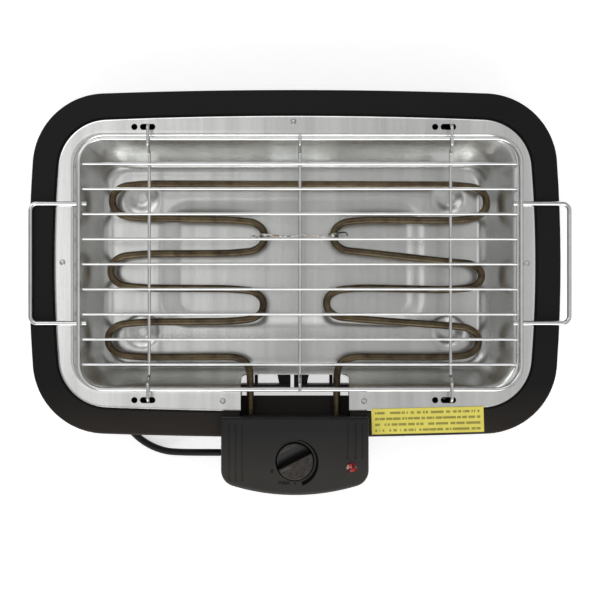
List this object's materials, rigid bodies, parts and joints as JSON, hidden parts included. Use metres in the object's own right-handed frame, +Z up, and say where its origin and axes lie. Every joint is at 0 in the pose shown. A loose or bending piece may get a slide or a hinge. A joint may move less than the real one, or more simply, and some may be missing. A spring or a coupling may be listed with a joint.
{
  "type": "electric griddle",
  "caption": "Table barbecue grill: open black base, bright reflector tray, lift-off tubular heating unit with knob box, and a wire cooking grate with side handles.",
  "frame": {"origin": "middle of the footprint, on the surface that the feet stand on (the mains cord and plug left out)", "axes": "+X to the right of the person at the knob, +Y away from that person, +Z up"},
  "size_m": [0.471, 0.351, 0.0945],
  "materials": {
    "base_plastic": "satin moulded black",
    "box_plastic": "satin moulded black",
    "knob_plastic": "satin moulded black",
    "rubber": "matt",
    "screw_steel": "zinc plated",
    "rivet_steel": "bright",
    "bright_sheet": "bright cold-rolled sheet with a fine grain",
    "yellow_film": "printed film",
    "chrome_wire": "bright chrome plated",
    "element_steel": "oxidised brown steel",
    "tie_steel": "heat tinted",
    "ceramic": "glazed",
    "bracket_steel": "zinc plated",
    "phenolic": "moulded phenolic",
    "red_lens": "clear red",
    "lamp_glass": "clear",
    "white_nylon": "nylon",
    "cord_rubber": "matt black",
    "wire_brown": "insulation",
    "wire_blue": "insulation",
    "wire_green": "insulation",
    "plug_nickel": "nickel plated brass"
  },
  "bodies": {
    "base": {"base_shell": "base_plastic", "foot_screws": "screw_steel", "front_sticker": "yellow_film", "mains_plug_body": "cord_rubber", "mains_plug_pins": "plug_nickel", "power_cord_coil": "cord_rubber", "power_cord_lead": "cord_rubber", "power_cord_tail": "cord_rubber", "reflector_tray": "bright_sheet", "rubber_foot_front_left": "rubber", "rubber_foot_front_right": "rubber", "rubber_foot_rear_left": "rubber", "rubber_foot_rear_right": "rubber", "tray_rivets": "rivet_steel"},
    "heating_unit": {"control_housing_cover": "box_plastic", "control_housing_base": "box_plastic", "housing_screws": "screw_steel", "heating_element": "element_steel", "element_tie_wire": "tie_steel", "element_insulators": "ceramic", "element_terminal_pins": "screw_steel", "element_ferrules": "rivet_steel", "element_plate": "bracket_steel", "thermostat_body": "phenolic", "thermostat_bracket": "bracket_steel", "thermostat_screws": "screw_steel", "pilot_lens": "red_lens", "neon_lamp": "lamp_glass", "safety_switch": "phenolic", "cord_strain_relief": "cord_rubber", "cord_clamp": "white_nylon", "cord_clamp_screws": "screw_steel", "terminal_block": "ceramic", "wire_live": "wire_brown", "wire_neutral": "wire_blue", "wire_earth": "wire_green", "wire_switched": "wire_brown"},
    "knob": {"control_knob": "knob_plastic", "thermostat_spindle": "bracket_steel"},
    "plunger": {"switch_plunger": "white_nylon"},
    "grate": {"grate_bar_1": "chrome_wire", "grate_bar_2": "chrome_wire", "grate_bar_3": "chrome_wire", "grate_bar_4": "chrome_wire", "grate_bar_5": "chrome_wire", "grate_bar_6": "chrome_wire", "grate_bar_7": "chrome_wire", "grate_bar_8": "chrome_wire", "grate_bar_9": "chrome_wire", "grate_cross_wire_left": "chrome_wire", "grate_cross_wire_middle": "chrome_wire", "grate_cross_wire_right": "chrome_wire", "grate_frame": "chrome_wire", "grate_handle_left": "chrome_wire", "grate_handle_right": "chrome_wire"}
  },
  "joints": [
    {"name": "heating_unit_lift", "type": "slide", "parent": "base", "child": "heating_unit", "axis": [0, 0, 1], "range_m": [0, 0.06]},
    {"name": "grate_lift", "type": "slide", "parent": "heating_unit", "child": "grate", "axis": [0, 0, 1], "range_m": [0, 0.05]},
    {"name": "knob_turn", "type": "hinge", "parent": "heating_unit", "child": "knob", "pos_m": [-0.0033, -0.1464, 0.092], "axis": [0, 0, -1], "range_deg": [0, 296]},
    {"name": "plunger_press", "type": "slide", "parent": "heating_unit", "child": "plunger", "axis": [0, 0, 1], "range_m": [0, 0.0015], "stiffness_N_per_m": 300, "springref_m": -0.004}
  ]
}
